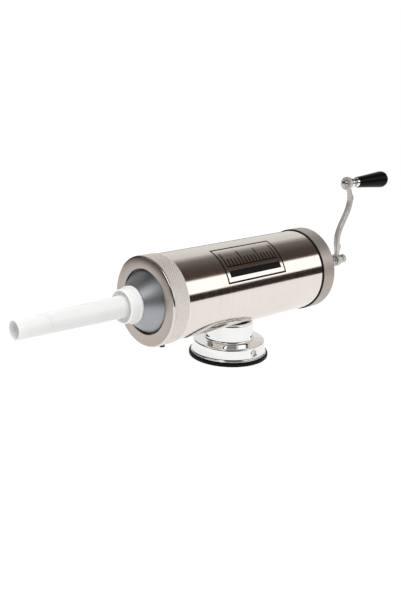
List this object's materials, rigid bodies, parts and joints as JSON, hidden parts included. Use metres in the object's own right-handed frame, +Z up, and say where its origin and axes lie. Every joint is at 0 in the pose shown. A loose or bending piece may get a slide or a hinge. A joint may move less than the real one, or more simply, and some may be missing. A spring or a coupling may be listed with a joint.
{
  "type": "horizontal sausage stuffer",
  "caption": "Hand-cranked horizontal sausage stuffer: steel barrel with screw-driven piston, screw-on funnel and nozzle, on a vacuum foot with a cam lever.",
  "frame": {"origin": "centre of the foot's underside, on the worktop", "axes": "+Z up; +X along the barrel from the nozzle towards the crank; +Y towards the foot lever"},
  "size_m": [0.578, 0.1065, 0.2035],
  "materials": {
    "barrel_steel": "brushed along the barrel, semi-bright",
    "ring_steel": "turned face, knurled rim, polished bevel",
    "funnel_aluminium": "fine turned finish",
    "nozzle_plastic": "natural translucent white",
    "seal_silicone": "satin",
    "cap_steel": "turned, fine knurl on the rim",
    "bush_brass": "machined",
    "fastener_steel": "bright zinc plate",
    "piston_plastic": "satin food-grade plastic",
    "screw_steel": "rolled trapezoidal thread",
    "crank_steel": "satin nickel plate",
    "grip_plastic": "glossy black",
    "foot_chrome": "bright chrome plate",
    "pad_rubber": "satin black",
    "lever_chrome": "bright chrome plate",
    "lock_black": "black oxide"
  },
  "bodies": {
    "barrel": {"barrel_tube": "barrel_steel", "suction_pad": "pad_rubber", "base_shell": "foot_chrome", "base_neck": "foot_chrome", "neck_screws": "fastener_steel", "neck_nuts": "fastener_steel", "axle_bush_front": "foot_chrome", "axle_bush_rear": "foot_chrome"},
    "funnel": {"funnel_cone": "funnel_aluminium", "front_gasket": "seal_silicone"},
    "front_ring": {"front_ring": "ring_steel", "ring_lock_screw": "lock_black"},
    "nozzle_seal": {"nozzle_washer": "seal_silicone"},
    "nozzle": {"nozzle": "nozzle_plastic"},
    "rear_seal": {"rear_gasket": "seal_silicone"},
    "rear_cap": {"rear_cap": "cap_steel", "drive_bush": "bush_brass", "bush_screws": "fastener_steel", "bush_nuts": "fastener_steel"},
    "piston": {"piston_head": "piston_plastic", "piston_seal": "seal_silicone", "piston_back_plate": "piston_plastic", "piston_screws": "fastener_steel"},
    "crank": {"lead_screw": "screw_steel", "thrust_collar": "fastener_steel", "collar_pin": "fastener_steel", "crank_arm": "crank_steel", "crank_washer": "fastener_steel", "thumb_nut": "fastener_steel", "grip_axle": "fastener_steel", "axle_nut": "fastener_steel"},
    "grip": {"grip": "grip_plastic", "grip_ferrule": "fastener_steel"},
    "lever": {"lever_axle": "fastener_steel", "lever_cam": "fastener_steel", "suction_lever": "lever_chrome", "axle_clip": "fastener_steel"},
    "yoke": {"pull_yoke": "fastener_steel"}
  },
  "joints": [
    {"name": "funnel_travel", "type": "slide", "parent": "barrel", "child": "funnel", "axis": [1, 0, 0], "range_m": [-0.01501, 0]},
    {"name": "ring_turn", "type": "hinge", "parent": "funnel", "child": "front_ring", "pos_m": [-0.12, 0, 0.09], "axis": [1, 0, 0], "range_deg": [-1800, 0]},
    {"name": "nozzle_travel", "type": "slide", "parent": "funnel", "child": "nozzle_seal", "axis": [1, 0, 0], "range_m": [-0.00601, 0]},
    {"name": "nozzle_turn", "type": "hinge", "parent": "nozzle_seal", "child": "nozzle", "pos_m": [-0.155, 0, 0.09], "axis": [1, 0, 0], "range_deg": [-720, 0]},
    {"name": "cap_travel", "type": "slide", "parent": "barrel", "child": "rear_seal", "axis": [1, 0, 0], "range_m": [0, 0.01801]},
    {"name": "cap_turn", "type": "hinge", "parent": "rear_seal", "child": "rear_cap", "pos_m": [0.12, 0, 0.09], "axis": [1, 0, 0], "range_deg": [0, 2160]},
    {"name": "piston_travel", "type": "slide", "parent": "rear_cap", "child": "piston", "axis": [1, 0, 0], "range_m": [-0.05201, 0.16801]},
    {"name": "crank_turn", "type": "hinge", "parent": "piston", "child": "crank", "pos_m": [0.1955, 0, 0.09], "axis": [1, 0, 0], "range_deg": [-4680, 15120]},
    {"name": "grip_spin", "type": "hinge", "parent": "crank", "child": "grip", "pos_m": [0.25, 0, 0.1926], "axis": [1, 0, 0], "continuous": true},
    {"name": "lever_turn", "type": "hinge", "parent": "barrel", "child": "lever", "pos_m": [0, 0, 0.0125], "axis": [0, -1, 0], "range_deg": [0, 150]},
    {"name": "yoke_lift", "type": "slide", "parent": "barrel", "child": "yoke", "axis": [0, 0, 1], "range_m": [0, 0.00388]}
  ],
  "couplings": [
    {"joint": "funnel_travel", "follows": "ring_turn", "m_per_rad": 0.00047746},
    {"joint": "nozzle_travel", "follows": "nozzle_turn", "m_per_rad": 0.00047746},
    {"joint": "cap_travel", "follows": "cap_turn", "m_per_rad": 0.00047746},
    {"joint": "piston_travel", "follows": "crank_turn", "m_per_rad": 0.00063662},
    {"joint": "yoke_lift", "follows": "lever_turn", "m_per_rad": 0.0014758}
  ]
}
